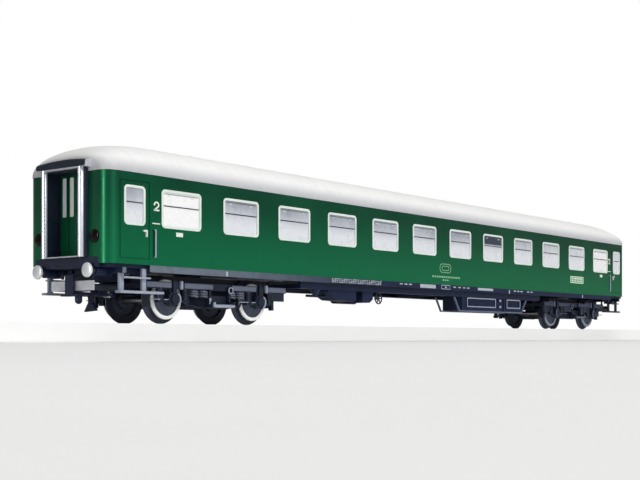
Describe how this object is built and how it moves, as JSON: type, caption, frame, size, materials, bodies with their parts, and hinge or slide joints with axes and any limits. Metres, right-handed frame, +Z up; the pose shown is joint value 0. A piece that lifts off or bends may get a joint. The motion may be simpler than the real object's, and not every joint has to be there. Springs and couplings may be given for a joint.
{
  "type": "model passenger coach",
  "caption": "Model express passenger coach with domed roof, two swivelling bogies, rolling wheelsets, loop couplings and gangways.",
  "frame": {"origin": "track centre line, midway along the coach, level with the bottom of the wheel flanges (bottom centre of the bounding box)", "axes": "+X along the coach towards the rear end, +Y across it to the left side, +Z up"},
  "size_m": [0.303, 0.0336, 0.0477],
  "materials": {
    "body_green": "satin",
    "roof_grey": "matt",
    "window_frame": "bright",
    "pane": "frosted",
    "dark_rubber": "matt",
    "gangway_silver": "satin",
    "lamp_red": "gloss",
    "bright_wire": "bright",
    "interior_tan": "matt",
    "weight_steel": "plain",
    "underframe_black": "satin",
    "screw_steel": "bright",
    "buffer_steel": "bright",
    "step_grey": "satin",
    "bogie_grey": "satin",
    "bearing_brass": "plain",
    "axle_steel": "bright",
    "wheel_steel": "bright tread, dark centre",
    "coupling_steel": "plain",
    "coupling_black": "satin"
  },
  "bodies": {
    "coach": {"body_shell": "body_green", "roof": "roof_grey", "window_frames_left": "window_frame", "window_frames_right": "window_frame", "window_panes_left": "pane", "window_panes_right": "pane", "gangway_door_front": "body_green", "gangway_door_rear": "body_green", "gangway_door_panes_front": "pane", "gangway_door_panes_rear": "pane", "gangway_bellows_front": "dark_rubber", "gangway_bellows_rear": "dark_rubber", "gangway_frame_front": "gangway_silver", "gangway_frame_rear": "gangway_silver", "gangway_roof_front": "dark_rubber", "gangway_roof_rear": "dark_rubber", "tail_lamps_front": "lamp_red", "tail_lamps_rear": "lamp_red", "door_handles": "bright_wire", "door_handrails": "bright_wire", "interior": "interior_tan", "ballast_weight": "weight_steel", "chassis": "underframe_black", "chassis_screws": "screw_steel", "buffer_sleeves": "underframe_black", "buffer_heads": "buffer_steel", "brake_hoses": "dark_rubber", "steps_front_left": "step_grey", "steps_front_right": "step_grey", "steps_rear_left": "step_grey", "steps_rear_right": "step_grey", "battery_box": "underframe_black", "battery_box_carrier": "underframe_black", "brake_cylinder": "underframe_black", "regulator_box": "underframe_black", "hand_brake_wheel": "underframe_black", "drain_pipe": "underframe_black", "air_tanks": "underframe_black", "bogie_screw_front": "screw_steel", "bogie_screw_rear": "screw_steel"},
    "bogie_front": {"bogie_frame_front": "bogie_grey", "axle_bearings_front": "bearing_brass", "coupling_rivet_front": "screw_steel"},
    "bogie_rear": {"bogie_frame_rear": "bogie_grey", "axle_bearings_rear": "bearing_brass", "coupling_rivet_rear": "screw_steel"},
    "wheelset_1": {"wheelset_1_axle": "axle_steel", "wheelset_1_wheels": "wheel_steel"},
    "wheelset_2": {"wheelset_2_axle": "axle_steel", "wheelset_2_wheels": "wheel_steel"},
    "wheelset_3": {"wheelset_3_axle": "axle_steel", "wheelset_3_wheels": "wheel_steel"},
    "wheelset_4": {"wheelset_4_axle": "axle_steel", "wheelset_4_wheels": "wheel_steel"},
    "coupling_front": {"coupling_hook_front": "coupling_black", "coupling_trip_front": "coupling_black"},
    "coupling_rear": {"coupling_hook_rear": "coupling_black", "coupling_trip_rear": "coupling_black"},
    "loop_front": {"coupling_loop_front": "coupling_steel"},
    "loop_rear": {"coupling_loop_rear": "coupling_steel"}
  },
  "joints": [
    {"name": "bogie_front_swivel", "type": "hinge", "parent": "coach", "child": "bogie_front", "pos_m": [-0.1075, 0, 0.012], "axis": [0, 0, 1], "range_deg": [-7, 7]},
    {"name": "bogie_rear_swivel", "type": "hinge", "parent": "coach", "child": "bogie_rear", "pos_m": [0.1075, 0, 0.012], "axis": [0, 0, 1], "range_deg": [-7, 7]},
    {"name": "wheelset_1_spin", "type": "hinge", "parent": "bogie_front", "child": "wheelset_1", "pos_m": [-0.12425, 0, 0.00665], "axis": [0, 1, 0], "continuous": true},
    {"name": "wheelset_2_spin", "type": "hinge", "parent": "bogie_front", "child": "wheelset_2", "pos_m": [-0.09075, 0, 0.00665], "axis": [0, 1, 0], "continuous": true},
    {"name": "wheelset_3_spin", "type": "hinge", "parent": "bogie_rear", "child": "wheelset_3", "pos_m": [0.09075, 0, 0.00665], "axis": [0, 1, 0], "continuous": true},
    {"name": "wheelset_4_spin", "type": "hinge", "parent": "bogie_rear", "child": "wheelset_4", "pos_m": [0.12425, 0, 0.00665], "axis": [0, 1, 0], "continuous": true},
    {"name": "coupling_front_swing", "type": "hinge", "parent": "bogie_front", "child": "coupling_front", "pos_m": [-0.136, 0, 0.0078], "axis": [0, 0, -1], "range_deg": [-8, 8]},
    {"name": "coupling_rear_swing", "type": "hinge", "parent": "bogie_rear", "child": "coupling_rear", "pos_m": [0.136, 0, 0.0078], "axis": [0, 0, -1], "range_deg": [-8, 8]},
    {"name": "loop_front_lift", "type": "hinge", "parent": "coupling_front", "child": "loop_front", "pos_m": [-0.1396, 0, 0.009], "axis": [0, 1, 0], "range_deg": [0, 6]},
    {"name": "loop_rear_lift", "type": "hinge", "parent": "coupling_rear", "child": "loop_rear", "pos_m": [0.1396, 0, 0.009], "axis": [0, -1, 0], "range_deg": [0, 6]}
  ]
}
